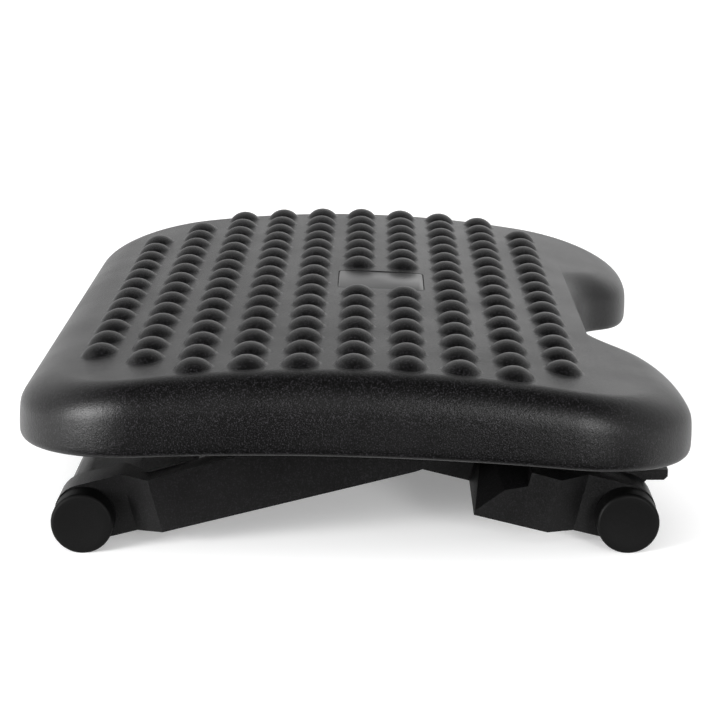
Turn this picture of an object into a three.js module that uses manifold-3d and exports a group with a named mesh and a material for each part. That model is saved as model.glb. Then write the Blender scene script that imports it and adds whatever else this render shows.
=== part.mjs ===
import * as THREE from 'three';
import { ConvexGeometry } from 'three/addons/geometries/ConvexGeometry.js';
import { mergeVertices } from 'three/addons/utils/BufferGeometryUtils.js';
import Module from 'manifold-3d';

// A tilting under-desk footrest. Millimetres, +Z up, the floor at z = 0.
// X runs along the platform, left at -X. The user sits at -Y, on the side with the cut-out.
// Two like leg frames cross at one axle. They fold together to three heights, and the
// platform tilts about the same axle.

const wasm = await Module();
wasm.setup();
const { Manifold, Mesh: ManifoldMesh } = wasm;

// Clearances
const seatGap = 0.3;
const runGap = 0.3;
const overrun = 1;

// Stance at the lowest of the three heights
const axleHeight = 51;
const restTiltDeg = 1.7;

// Platform moulding
const platformLength = 450;
const platformWidth = 350;
const halfLength = platformLength / 2;
const halfWidth = platformWidth / 2;
const platformRise = 51;
const endRimHeight = 41.3;
const crownRadius = 778;
const undersideRadius = 1640;
const platformWall = 3.2;
const backCornerRadius = 68;
const frontCornerRadius = 68;
const rimTopInset = 23;
const rimTopShare = 0.49;
const rimEdgeRadius = 3;
const rimDraft = 1.2;

// Concave cut-out in the front edge
const notchDepth = 41.5;
const notchFloorWidth = 50;
const notchInnerBendShare = 0.65;
const notchOuterBendShare = 0.73;

// Massage bumps, spread between margins
const bumpColumns = 10;
const bumpRows = 16;
const bumpEndMargin = 24.375;
const bumpBackMargin = 39.925;
const bumpFrontMargin = 69.325;
const rowPitch = (platformLength - 2 * bumpEndMargin) / (bumpRows - 1);
const columnPitch = (platformWidth - bumpBackMargin - bumpFrontMargin) / (bumpColumns - 1);
const bumpRadius = 9.2;
const bumpHeight = 5.5;
const bumpShoulderRadiusShare = 0.68;
const bumpShoulderHeightShare = 0.75;
const bumpSinkShare = 0.7;
const bumpSides = 8;

// Name plate, in the room of two rows and two columns of bumps
const plateRowClearance = 5.5;
const plateColumnClearance = 3.5;
const plateLength = 2 * rowPitch - plateRowClearance;
const plateWidth = 2 * columnPitch - plateColumnClearance;
const plateThickness = 1.5;
const plateCornerRadius = 4;

// Ribs under the top
const ribDepth = 9;
const ribThickness = 2.2;
const crossRibPitch = 100;
const endRibInset = 19;
const innerLongRibReach = 55;
const outerLongRibInset = 75;

// Foot bars and caps. Each foot stands in from two edges of the platform.
const footEndInset = 31;
const footSideInset = 35;
const capRadius = 16;
const capLength = 13;
const capEndWall = 3.4;
const capBevel = 1.5;
const barRadius = 14;
const barBore = 22;
const capSides = 20;
const barSides = 20;

// Leg frames
const armThickness = 16;
const armJog = 8;
const innerArmStep = 57.3;
const noseOffset = 28;
const noseRadius = 16;
const armDepthAtFoot = 12.8;
const armFootInset = 38.3;
const footJogRun = 14;
const bracketWidth = 21;
const bracketCrest = 17;
const gussetLength = 39;
const gussetTipHeight = 2.4;
const gussetTipRun = 12;
const gussetBendHeight = 0.7;
const armSkin = 3.4;
const armRib = 2.4;
const armPockets = 4;
const pocketStart = 54;
const pocketEndInset = 4;

// Sloping web between the two arms of a leg frame
const webInset = 26;
const webThickness = 3.4;
const webTop = 13.6;
const webLipDepth = 15;
const webRibs = 3;
const webRibThickness = 2.4;

// Tab on the outer side of each foot bar
const tabEndInset = 47;
const tabLength = 13;
const tabOut = 24;
const tabRoot = 4;
const tabFoot = 9.5;
const tabBase = 12.9;
const tabTop = 18.6;
const tabChamfer = 2;

// Axle and what turns on it
const axleRadius = 6;
const axleFlat = 4.6;
const axleSides = 12;
const hubThickness = 8;
const hubRadius = 15.4;
const hubSides = 20;
const notchAnglesDeg = [0, 8.4, 17.3];
const hubNotchDepth = 2;
const hubNotchWidth = 1.8;
const washerThickness = 1.7;
const washerRadius = 11;
const sleeveRadius = 9;
const ringThickness = 1.2;
const ringRadius = 8.5;
const ringGroove = 0.9;

// Hinge brackets
const barrelWidth = 20;
const barrelRadius = 12;
const bracketFoot = 39;
const bracketPlate = 4;
const bracketPlateLength = 38;
const bracketPlateWidth = 68;
const bracketPlateCorner = 4;
const cheekThickness = 4;
const cheekTopShare = 0.72;
const screwPitchX = 28;
const screwPitchY = 52;
const screwRadius = 2;
const screwHeadRadius = 3.8;
const screwHeadHeight = 2.4;
const screwDepth = 6;
const bossRadius = 5;

// Sprung pawls
const pawlThickness = 1;
const pawlWidth = 6;
const pawlPostStart = 33;
const pawlPostEnd = 47;
const pawlTail = 5;
const pawlNose = 1.6;
const pawlScrewRadius = 1.5;
const pawlScrewHeadRadius = 2.8;
const pawlScrewHeadHeight = 1.8;
const pawlScrewDepth = 9;

// Sizes that follow from these
const footReach = halfWidth - footSideInset;
const legLength = Math.hypot(footReach, axleHeight - capRadius);
const legAngle = Math.asin((axleHeight - capRadius * Math.cos(Math.PI / capSides)) / legLength);
const armFootReach = legLength - armFootInset;
const bracketReach = armFootReach + footJogRun;
const gussetTipReach = armFootReach - gussetLength;
const pocketEnd = armFootReach - pocketEndInset;
const webInnerReach = armFootReach - webInset;
const discFace = halfLength - footEndInset;
const capInnerEnd = discFace - capLength;
const bracketFace = capInnerEnd - seatGap;
const outerFace = bracketFace + armJog;
const outerArmInside = outerFace - armThickness;
const innerArmOutside = outerFace - innerArmStep;
const innerArmInside = innerArmOutside - armThickness;
const bracketInside = bracketFace - bracketWidth;
const axleEnd = outerFace - armSkin - seatGap;
const hubOutside = outerArmInside - runGap;
const hubInside = hubOutside - hubThickness;
const outerWasherInside = hubInside - runGap - washerThickness;
const barrelOutside = outerWasherInside - runGap;
const barrelInside = barrelOutside - barrelWidth;
const innerWasherInside = barrelInside - runGap - washerThickness;
const sleeveOutside = innerWasherInside - runGap;
const sleeveInside = innerArmOutside + runGap;
const thrustOutside = innerArmInside - runGap;
const thrustInside = thrustOutside - washerThickness;
const ringOutside = thrustInside - runGap;
const barrelMiddle = (barrelOutside + barrelInside) / 2;
const boreRadius = axleRadius + runGap;
const endsX = [['left', -1], ['right', 1]];

// Materials
const plastic = (color, roughness) => new THREE.MeshStandardMaterial({ color, roughness, metalness: 0 });
const steel = (color, roughness) => new THREE.MeshStandardMaterial({ color, roughness, metalness: 1 });
const topPlastic = plastic(0x242426, 0.62);
const legPlastic = plastic(0x2b2b2d, 0.68);
const platePlastic = plastic(0x1c1c1e, 0.5);
const bracketPlastic = plastic(0x202022, 0.6);
const capRubber = plastic(0x101011, 0.55);
const axleSteel = steel(0xa9abae, 0.35);
const zincSteel = steel(0x8c9094, 0.4);
const springSteel = steel(0x5c6066, 0.35);
const washerPlastic = plastic(0xd8d6cf, 0.5);

// Corners of a mesh that lie closer than this are one corner
const mergeTolerance = 1e-4;

// Turns any closed geometry into an outward-facing solid for joining and cutting
function solid(geometry) {
  const bare = geometry.index ? geometry.toNonIndexed() : geometry.clone();
  bare.deleteAttribute('normal');
  bare.deleteAttribute('uv');
  const merged = mergeVertices(bare, mergeTolerance);
  const vertProperties = Float32Array.from(merged.attributes.position.array);
  const faces = [];
  const index = merged.index.array;
  for (let i = 0; i < index.length; i += 3) {
    const [a, b, c] = [index[i], index[i + 1], index[i + 2]];
    if (a !== b && b !== c && c !== a) faces.push(a, b, c);
  }
  if (signedVolume(vertProperties, faces) < 0) {
    for (let i = 0; i < faces.length; i += 3) {
      [faces[i], faces[i + 1]] = [faces[i + 1], faces[i]];
    }
  }
  return new Manifold(new ManifoldMesh({ numProp: 3, vertProperties, triVerts: Uint32Array.from(faces) }));
}

function signedVolume(positions, faces) {
  const [a, b, c] = [new THREE.Vector3(), new THREE.Vector3(), new THREE.Vector3()];
  let total = 0;
  for (let i = 0; i < faces.length; i += 3) {
    a.fromArray(positions, 3 * faces[i]);
    b.fromArray(positions, 3 * faces[i + 1]);
    c.fromArray(positions, 3 * faces[i + 2]);
    total += a.dot(b.cross(c));
  }
  return total;
}

function piece(name, material, body) {
  const mesh = body.getMesh();
  const geometry = new THREE.BufferGeometry();
  geometry.setAttribute('position', new THREE.BufferAttribute(mesh.vertProperties, 3));
  geometry.setIndex(new THREE.BufferAttribute(mesh.triVerts, 1));
  geometry.computeVertexNormals();
  const result = new THREE.Mesh(geometry, material);
  result.name = name;
  return result;
}

const union = (bodies) => bodies.reduce((all, next) => all.add(next));
const polygon = (points) => new THREE.Shape(points.map(([x, y]) => new THREE.Vector2(x, y)));

// A (y, z) outline run along X
function alongX(shape, from, to, curveSegments = 1) {
  const depth = Math.abs(to - from);
  const geometry = new THREE.ExtrudeGeometry(shape, { depth, bevelEnabled: false, curveSegments });
  const turn = new THREE.Matrix4().makeBasis(
    new THREE.Vector3(0, 1, 0), new THREE.Vector3(0, 0, 1), new THREE.Vector3(1, 0, 0));
  geometry.applyMatrix4(turn);
  geometry.translate(Math.min(from, to), 0, 0);
  return solid(geometry);
}

// An (x, y) outline run along Z
function alongZ(shape, from, to, curveSegments = 1) {
  const depth = to - from;
  const geometry = new THREE.ExtrudeGeometry(shape, { depth, bevelEnabled: false, curveSegments });
  geometry.translate(0, 0, from);
  return solid(geometry);
}

// A profile of [axial place, radius] pairs turned about the X axis, with a flat facet above and below
function turned(profile, sides) {
  const points = profile.map(([axial, radius]) => new THREE.Vector2(radius, axial));
  const geometry = new THREE.LatheGeometry(points, sides, Math.PI / sides);
  geometry.rotateZ(-Math.PI / 2);
  return solid(geometry);
}

const rod = (radius, from, to, sides) => turned([[from, 0], [from, radius], [to, radius], [to, 0]], sides);

// The two ends of a rod or tube come in either order
function tube(radius, bore, from, to, sides) {
  return turned([[from, bore], [from, radius], [to, radius], [to, bore], [from, bore]], sides);
}

function block([x0, x1], [y0, y1], [z0, z1]) {
  const geometry = new THREE.BoxGeometry(Math.abs(x1 - x0), Math.abs(y1 - y0), Math.abs(z1 - z0));
  geometry.translate((x0 + x1) / 2, (y0 + y1) / 2, (z0 + z1) / 2);
  return solid(geometry);
}

const hull = (points) => solid(new ConvexGeometry(points.map((p) => new THREE.Vector3(...p))));

// Places of the bump columns and of the name plate, which takes the place of four bumps
const columnPlace = (column) => halfWidth - bumpBackMargin - (column - 1) * columnPitch;
const plateColumns = [6, 7];
const plateCentreY = (columnPlace(plateColumns[0]) + columnPlace(plateColumns[1])) / 2;

// Half of the platform's outline, from the back edge round the right end to the floor of the cut-out.
// It runs clockwise. Both halves meet on straight edges, so nothing lies on the middle line. The short
// end is split between the columns of bumps, so that the crown's facets change where no bump stands.
const cornerSteps = 6;
const notchSteps = 7;

function arcPoints(centreX, centreY, radius, startDeg, endDeg, steps) {
  const points = [];
  for (let i = 0; i <= steps; i += 1) {
    const angle = THREE.MathUtils.degToRad(startDeg + ((endDeg - startDeg) * i) / steps);
    points.push(new THREE.Vector2(centreX + radius * Math.cos(angle), centreY + radius * Math.sin(angle)));
  }
  return points;
}

function halfOutline() {
  const backCentreY = halfWidth - backCornerRadius;
  const frontCentreY = frontCornerRadius - halfWidth;
  const back = arcPoints(halfLength - backCornerRadius, backCentreY, backCornerRadius, 90, 0, cornerSteps);
  const end = [];
  for (let column = 1; column < bumpColumns; column += 1) {
    const level = (columnPlace(column) + columnPlace(column + 1)) / 2;
    const clear = columnPitch / 2;
    const straight = level < backCentreY - clear && level > frontCentreY + clear;
    if (straight) end.push(new THREE.Vector2(halfLength, level));
  }
  const tipX = halfLength - frontCornerRadius;
  const front = arcPoints(tipX, frontCentreY, frontCornerRadius, 0, -90, cornerSteps);
  const floorX = notchFloorWidth / 2;
  const run = tipX - floorX;
  const bend = new THREE.CubicBezierCurve(
    new THREE.Vector2(tipX, -halfWidth),
    new THREE.Vector2(tipX - notchOuterBendShare * run, -halfWidth),
    new THREE.Vector2(floorX + notchInnerBendShare * run, notchDepth - halfWidth),
    new THREE.Vector2(floorX, notchDepth - halfWidth));
  return { outer: [...back, ...end, ...front], inner: bend.getPoints(notchSteps).slice(1) };
}

// The outline counter-clockwise, each point moved square to its two edges by the inset
function outlineRing(inset) {
  const { outer, inner } = halfOutline();
  const right = [...outer, ...inner].reverse();
  const left = [...outer, ...inner].map((p) => new THREE.Vector2(-p.x, p.y));
  const ring = [...left, ...right];
  return ring.map((point, i) => {
    const before = ring[(i + ring.length - 1) % ring.length];
    const after = ring[(i + 1) % ring.length];
    const first = point.clone().sub(before).normalize();
    const second = after.clone().sub(point).normalize();
    const inward = new THREE.Vector2(-first.y - second.y, first.x + second.x).normalize();
    const reach = inset / inward.dot(new THREE.Vector2(-first.y, first.x));
    return point.clone().addScaledVector(inward, reach);
  });
}

// Heights above the axle in the level platform
const drop = (radius, y) => radius - Math.sqrt(radius * radius - y * y);
const topHeight = (y) => platformRise - drop(crownRadius, y);
const rimFoot = (y) => platformRise - endRimHeight - drop(undersideRadius, y);
const rimHeight = (y) => topHeight(y) - rimFoot(y);

// Points of one level of the rim, sunk into it by a skin. turn is 0 on top and 1 at the foot of the
// rolled shoulder. From there the side is upright to 2, where its lower edge starts to turn in, to 3.
function rimRing(turn, skin) {
  const upper = turn <= 1;
  const angle = ((upper ? turn : 3 - turn) * Math.PI) / 2;
  const sideInset = upper ? rimTopInset : rimEdgeRadius;
  const inset = sideInset - (sideInset - skin) * Math.sin(angle);
  return outlineRing(inset).map(({ x, y }) => {
    const roll = rimTopShare * rimHeight(y);
    const onShoulder = topHeight(y) - roll + (roll - skin) * Math.cos(angle);
    const onEdge = rimFoot(y) + rimEdgeRadius * (1 - Math.cos(angle));
    return new THREE.Vector3(x, y, upper ? onShoulder : onEdge);
  });
}

// Triangles that close a ring, in strips across the platform, so that they follow its crown
function capFaces(ring) {
  const across = (i) => ring.length - 1 - i;
  const floor = ring.length / 2 - 1;
  const tip = floor - notchSteps;
  const split = ring.findIndex((point) => point.y < ring[floor].y) - 1;
  const faces = [];
  for (let i = 0; i <= split; i += 1) {
    const next = i < split ? i + 1 : floor;
    faces.push([i, next, across(next)], [i, across(next), across(i)]);
  }
  let low = split;
  let high = floor;
  while (high - low > 1) {
    const moveLow = low < tip && (tip - low) / (tip - split) >= (high - tip) / (floor - tip);
    const next = moveLow ? low + 1 : high - 1;
    faces.push([low, next, high], [across(low), across(high), across(next)]);
    if (moveLow) low = next;
    else high = next;
  }
  return faces;
}

// A closed solid through a stack of rings, from the highest down
function stacked(rings) {
  const count = rings[0].length;
  const positions = rings.flat().flatMap((p) => [p.x, p.y, p.z]);
  const index = [];
  const lowest = (rings.length - 1) * count;
  for (const [a, b, c] of capFaces(rings[0])) index.push(a, b, c);
  for (const [a, b, c] of capFaces(rings[rings.length - 1])) index.push(lowest + a, lowest + c, lowest + b);
  for (let r = 0; r < rings.length - 1; r += 1) {
    for (let i = 0; i < count; i += 1) {
      const next = (i + 1) % count;
      const [a, b] = [r * count + i, r * count + next];
      index.push(a, a + count, b + count, a, b + count, b);
    }
  }
  const geometry = new THREE.BufferGeometry();
  geometry.setAttribute('position', new THREE.Float32BufferAttribute(positions, 3));
  geometry.setIndex(index);
  return solid(geometry);
}

const outerTurns = [0, 0.28, 0.56, 0.8, 1, 2, 2.5, 3];
const innerTurns = [0, 0.5, 1];

const platformBlock = () => stacked(outerTurns.map((turn) => rimRing(turn, 0)));

function platformHollow() {
  const rings = innerTurns.map((turn) => rimRing(turn, platformWall));
  const mouth = outlineRing(platformWall + rimDraft);
  return stacked([...rings, mouth.map((p) => new THREE.Vector3(p.x, p.y, rimFoot(p.y) - overrun))]);
}

// A rib under the crown, as a wall between two places that follows the underside of the top
function longRib(y) {
  const low = topHeight(y) - platformWall - ribDepth;
  const across = [y - ribThickness / 2, y + ribThickness / 2];
  return block([-halfLength, halfLength], across, [low, platformRise]);
}

const crossRibSteps = 6;

function crossRib(x) {
  const upper = [];
  const lower = [];
  for (let i = 0; i <= crossRibSteps; i += 1) {
    const y = halfWidth - (platformWidth * i) / crossRibSteps;
    upper.push([y, topHeight(y) - platformWall / 2]);
    lower.push([y, topHeight(y) - platformWall - ribDepth]);
  }
  return alongX(polygon([...upper, ...lower.reverse()]), x - ribThickness / 2, x + ribThickness / 2);
}

const screwPlaces = (sideSign) => {
  const places = [];
  for (const dx of [-1, 1]) {
    for (const dy of [-1, 1]) {
      places.push([sideSign * barrelMiddle + (dx * screwPitchX) / 2, (dy * screwPitchY) / 2]);
    }
  }
  return places;
};

function upright(radius, from, to, sides) {
  const geometry = new THREE.CylinderGeometry(radius, radius, to - from, sides);
  geometry.rotateX(Math.PI / 2);
  geometry.translate(0, 0, (from + to) / 2);
  return solid(geometry);
}

const screwSides = 8;
const bossSides = 8;
const bossFoot = bracketFoot + seatGap;

function screwBoss([x, y]) {
  return upright(bossRadius, bossFoot, topHeight(y) - platformWall / 2, bossSides).translate([x, y, 0]);
}

const screwTip = bracketFoot + screwDepth;

function screwBore([x, y]) {
  const bore = upright(screwRadius + seatGap, bossFoot - overrun, screwTip + seatGap, screwSides);
  return bore.translate([x, y, 0]);
}

// Rows are left out where the corners round off and where the name plate lies
const cornerRows = [2, 1];
const middleRow = (bumpRows + 1) / 2;

function bumpPlaces() {
  const places = [];
  for (let column = 1; column <= bumpColumns; column += 1) {
    const fromBack = cornerRows[column - 1] ?? 0;
    const fromFront = column === bumpColumns ? 1 : 0;
    const skipped = Math.max(fromBack, fromFront);
    for (let row = 1 + skipped; row <= bumpRows - skipped; row += 1) {
      const underPlate = plateColumns.includes(column) && Math.abs(row - middleRow) < 1;
      if (!underPlate) places.push([(middleRow - row) * rowPitch, columnPlace(column)]);
    }
  }
  return places;
}

// A dome square to the crown, whose flank runs on into the wall
function bump([x, y]) {
  const sink = bumpSinkShare * platformWall;
  const shoulderRadius = bumpShoulderRadiusShare * bumpRadius;
  const shoulderHeight = bumpShoulderHeightShare * bumpHeight;
  const flare = ((bumpRadius - shoulderRadius) * sink) / shoulderHeight;
  const points = [
    new THREE.Vector2(0, -sink),
    new THREE.Vector2(bumpRadius + flare, -sink),
    new THREE.Vector2(shoulderRadius, shoulderHeight),
    new THREE.Vector2(0, bumpHeight),
  ];
  const geometry = new THREE.LatheGeometry(points, bumpSides, Math.PI / bumpSides);
  geometry.rotateX(Math.PI / 2 - Math.asin(y / crownRadius));
  geometry.translate(x, y, topHeight(y));
  return solid(geometry);
}

function roundedPlate(length, width, radius) {
  const shape = new THREE.Shape();
  const [a, b] = [length / 2, width / 2];
  shape.moveTo(-a + radius, -b);
  shape.lineTo(a - radius, -b);
  shape.absarc(a - radius, -b + radius, radius, -Math.PI / 2, 0);
  shape.absarc(a - radius, b - radius, radius, 0, Math.PI / 2);
  shape.absarc(-a + radius, b - radius, radius, Math.PI / 2, Math.PI);
  shape.absarc(-a + radius, -b + radius, radius, Math.PI, 1.5 * Math.PI);
  return shape;
}

// The plate lies flat, level with the crown along its middle, turned to the slope of the top there
const plateSlope = -Math.asin(plateCentreY / crownRadius);
const plateSeat = topHeight(plateCentreY) - drop(crownRadius, plateWidth / 2);
const plateSteps = 3;

function plateSpace(grow, from, to) {
  const shape = roundedPlate(plateLength + 2 * grow, plateWidth + 2 * grow, plateCornerRadius + grow);
  return alongZ(shape, from, to, plateSteps)
    .rotate([THREE.MathUtils.radToDeg(plateSlope), 0, 0])
    .translate([0, plateCentreY, plateSeat]);
}

function platformShell() {
  const ribs = [];
  const outerLongRibReach = halfWidth - outerLongRibInset;
  const endRibReach = halfLength - endRibInset;
  for (const y of [outerLongRibReach, innerLongRibReach, -innerLongRibReach, -outerLongRibReach]) {
    ribs.push(longRib(y));
  }
  for (const x of [-endRibReach, -crossRibPitch, 0, crossRibPitch, endRibReach]) {
    ribs.push(crossRib(x));
  }
  const bosses = endsX.flatMap(([, sign]) => screwPlaces(sign)).map(screwBoss);
  const bores = endsX.flatMap(([, sign]) => screwPlaces(sign)).map(screwBore);
  const hollow = platformHollow().subtract(union([...ribs, ...bosses]));
  const shell = platformBlock().subtract(hollow).add(union(bumpPlaces().map(bump)));
  const recess = plateSpace(seatGap, -plateThickness - seatGap, bumpHeight);
  return shell.subtract(recess).subtract(union(bores));
}

const namePlate = () => plateSpace(0, -plateThickness, 0);

// Hinge bracket: a barrel on the axle, two cheeks and a plate under the platform's bosses
function hingeBracket(sign) {
  const barrel = rod(barrelRadius, sign * barrelInside, sign * barrelOutside, axleSides);
  const foot = bracketFoot - bracketPlate;
  const cheekShape = polygon([
    [-barrelRadius, 0],
    [barrelRadius, 0],
    [(cheekTopShare * bracketPlateWidth) / 2, foot + bracketPlate / 2],
    [(-cheekTopShare * bracketPlateWidth) / 2, foot + bracketPlate / 2],
  ]);
  const cheeks = [
    alongX(cheekShape, sign * (barrelOutside - cheekThickness), sign * barrelOutside),
    alongX(cheekShape, sign * barrelInside, sign * (barrelInside + cheekThickness)),
  ];
  const spine = block(
    [sign * barrelInside, sign * barrelOutside],
    [-cheekThickness / 2, cheekThickness / 2],
    [barrelRadius - overrun, foot + bracketPlate / 2]);
  const plateShape = roundedPlate(bracketPlateLength, bracketPlateWidth, bracketPlateCorner);
  const plate = alongZ(plateShape, foot, bracketFoot, plateSteps).translate([sign * barrelMiddle, 0, 0]);
  const boreEnds = [sign * (barrelInside - overrun), sign * (barrelOutside + overrun)];
  const bore = rod(boreRadius, ...boreEnds, axleSides);
  const holes = screwPlaces(sign).map(([x, y]) =>
    upright(screwRadius + seatGap, foot - overrun, bracketFoot + overrun, screwSides).translate([x, y, 0]));
  return union([barrel, ...cheeks, spine, plate]).subtract(union([bore, ...holes]));
}

function bracketScrew([x, y]) {
  const seat = bracketFoot - bracketPlate - seatGap;
  const head = upright(screwHeadRadius, seat - screwHeadHeight, seat, screwSides);
  const shank = upright(screwRadius, seat - overrun, screwTip, screwSides);
  return head.add(shank).translate([x, y, 0]);
}

// Axle, with a flat at each end that keys the ratchet hubs and a groove for each retaining ring
function pivotAxle() {
  const body = rod(axleRadius, -axleEnd, axleEnd, axleSides);
  const clear = axleRadius + overrun;
  const cuts = [];
  for (const [, sign] of endsX) {
    cuts.push(block(
      [sign * (hubInside - seatGap), sign * (axleEnd + overrun)],
      [-clear, clear],
      [axleFlat, clear]));
    const groove = [sign * (ringOutside - ringThickness - seatGap), sign * (ringOutside + seatGap)];
    cuts.push(tube(clear, axleRadius - ringGroove, ...groove, axleSides));
  }
  return body.subtract(union(cuts));
}

// Ratchet hub with a D-shaped bore and one notch for each height
function ratchetHub(sign) {
  const [from, to] = [sign * hubInside, sign * hubOutside];
  const body = rod(hubRadius, from, to, hubSides);
  const reach = [Math.min(from, to) - overrun, Math.max(from, to) + overrun];
  const bore = rod(boreRadius, ...reach, axleSides)
    .subtract(block(reach, [-hubRadius, hubRadius], [axleFlat + runGap, hubRadius]));
  const notches = notchAnglesDeg.map((angle) => {
    const notch = alongX(
      polygon([
        [-hubNotchWidth / 2, hubRadius - hubNotchDepth],
        [hubNotchWidth / 2, hubRadius - hubNotchDepth],
        [hubNotchWidth / 2, hubRadius + overrun],
        [-hubNotchWidth / 2, hubRadius + overrun],
      ]),
      ...reach);
    return notch.rotate([sign * (angle + THREE.MathUtils.radToDeg(legAngle)), 0, 0]);
  });
  return body.subtract(bore).subtract(union(notches));
}

const washer = (radius, from, to) => tube(radius, boreRadius, from, to, axleSides);

// Ring with a mouth below, as wide as half of the groove's floor, through which it is pushed on
function retainingRing(sign) {
  const grooveRadius = axleRadius - ringGroove;
  const [from, to] = [sign * (ringOutside - ringThickness), sign * ringOutside];
  const ring = tube(ringRadius, grooveRadius + seatGap, from, to, axleSides);
  const mouth = block(
    [from - sign * overrun, to + sign * overrun],
    [-grooveRadius / 2, grooveRadius / 2],
    [-ringRadius - overrun, 0]);
  return ring.subtract(mouth);
}

// Leg frame, drawn with Y along the leg from the axle to its foot bar and Z square to that.
// Its outer arm is at the left. The front frame is the same one turned half round.
function legSide() {
  const crestRadius = (bracketCrest + barRadius) / 2;
  const crestRise = (bracketCrest - barRadius) / 2;
  const shape = new THREE.Shape();
  shape.moveTo(-noseOffset, -noseRadius);
  shape.lineTo(armFootReach, -noseRadius);
  shape.lineTo(bracketReach, -barRadius);
  shape.lineTo(legLength, -barRadius);
  shape.absarc(legLength, crestRise, crestRadius, -Math.PI / 2, Math.PI / 2);
  shape.lineTo(bracketReach, bracketCrest);
  shape.lineTo(armFootReach, armDepthAtFoot);
  shape.lineTo(0, noseRadius);
  shape.lineTo(-noseOffset, noseRadius);
  shape.absarc(-noseOffset, 0, noseRadius, Math.PI / 2, 1.5 * Math.PI);
  return shape;
}

const legEnd = legLength + barRadius + capRadius;
const legStart = -noseOffset - noseRadius - overrun;
const legArcSteps = 8;

// Both arms cut from one side view by their plan views
function legArms() {
  const side = alongX(legSide(), -outerFace, outerFace, legArcSteps);
  const level = [-legLength, legLength];
  const outerPlan = polygon([
    [-outerFace, legStart],
    [-outerArmInside, legStart],
    [-outerArmInside, armFootReach],
    [-bracketInside, bracketReach],
    [-bracketInside, legEnd],
    [-bracketFace, legEnd],
    [-bracketFace, bracketReach],
    [-outerFace, armFootReach],
  ]);
  const innerPlan = polygon([
    [innerArmInside, legStart],
    [innerArmOutside, legStart],
    [innerArmOutside, armFootReach - armThickness],
    [outerFace, armFootReach - armThickness],
    [outerFace, armFootReach],
    [bracketFace, bracketReach],
    [bracketFace, legEnd],
    [bracketInside, legEnd],
    [bracketInside, bracketReach],
    [innerArmInside, armFootReach],
  ]);
  const outerArm = side.intersect(alongZ(outerPlan, ...level));
  const innerArm = side.intersect(alongZ(innerPlan, ...level));
  return outerArm.add(innerArm);
}

// Gusset between the outer plane and the inner arm, with a sloping top
function legGusset() {
  const lowTip = -noseRadius;
  const armTop = noseRadius + ((armDepthAtFoot - noseRadius) * gussetTipReach) / armFootReach;
  const tip = lowTip + gussetTipHeight;
  return hull([
    [outerFace, gussetTipReach, lowTip],
    [outerFace, gussetTipReach, tip],
    [outerFace, gussetTipReach + gussetTipRun, gussetBendHeight],
    [outerFace, armFootReach, armDepthAtFoot],
    [outerFace, armFootReach, lowTip],
    [innerArmOutside, gussetTipReach, lowTip],
    [innerArmOutside, gussetTipReach, armTop],
    [innerArmOutside, armFootReach, armDepthAtFoot],
    [innerArmOutside, armFootReach, lowTip],
    [innerArmOutside - overrun, gussetTipReach, lowTip],
    [innerArmOutside - overrun, armFootReach, lowTip],
    [innerArmOutside - overrun, armFootReach, armDepthAtFoot],
    [innerArmOutside - overrun, gussetTipReach, armTop],
  ]);
}

function legWeb() {
  const plate = block(
    [-outerArmInside - overrun, innerArmInside + overrun],
    [webInnerReach, legLength],
    [webTop - webThickness, webTop]);
  const lip = block(
    [-outerArmInside - overrun, innerArmInside + overrun],
    [webInnerReach, webInnerReach + webThickness],
    [webTop - webLipDepth, webTop]);
  const ribs = [];
  const span = outerArmInside + innerArmInside;
  for (let i = 1; i <= webRibs; i += 1) {
    const x = -outerArmInside + (span * i) / (webRibs + 1);
    ribs.push(block(
      [x - webRibThickness / 2, x + webRibThickness / 2],
      [webInnerReach, legLength - barRadius + overrun],
      [webTop - webLipDepth, webTop]));
  }
  return union([plate, lip, ...ribs]);
}

function legTab() {
  const shape = polygon([
    [-tabRoot, tabFoot],
    [tabFoot, tabFoot],
    [tabBase, tabBase],
    [tabOut - tabChamfer, tabBase],
    [tabOut, tabBase + tabChamfer],
    [tabOut, tabTop],
    [-tabRoot, tabTop],
  ]);
  return alongX(shape, discFace - tabEndInset, discFace - tabEndInset + tabLength)
    .rotate([THREE.MathUtils.radToDeg(legAngle), 0, 0])
    .translate([0, legLength, 0]);
}

// Pockets that core out an arm from its inner side, between thin cross ribs
function armCores(from, to) {
  const cores = [];
  const pitch = (pocketEnd - pocketStart + armRib) / armPockets;
  for (let i = 0; i < armPockets; i += 1) {
    const start = pocketStart + i * pitch;
    cores.push(block(
      [from, to],
      [start, start + pitch - armRib],
      [armSkin - noseRadius, armDepthAtFoot - armSkin]));
  }
  return cores;
}

// The pawl lies just clear of the hub, on a post of the outer arm, held by one screw
const pawlSeat = hubRadius + seatGap;
const pawlMiddleX = -(hubOutside + hubInside) / 2;
const pawlScrewReach = (pawlPostStart + pawlPostEnd) / 2;

function pawlPost() {
  return block(
    [-outerArmInside - overrun, -hubInside],
    [pawlPostStart, pawlPostEnd],
    [armDepthAtFoot - noseRadius, pawlSeat - seatGap]);
}

function pawlScrewBore() {
  const ends = [pawlSeat - pawlScrewDepth - seatGap, pawlSeat + pawlThickness + overrun];
  return upright(pawlScrewRadius + seatGap, ...ends, screwSides)
    .translate([pawlMiddleX, pawlScrewReach, 0]);
}

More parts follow.
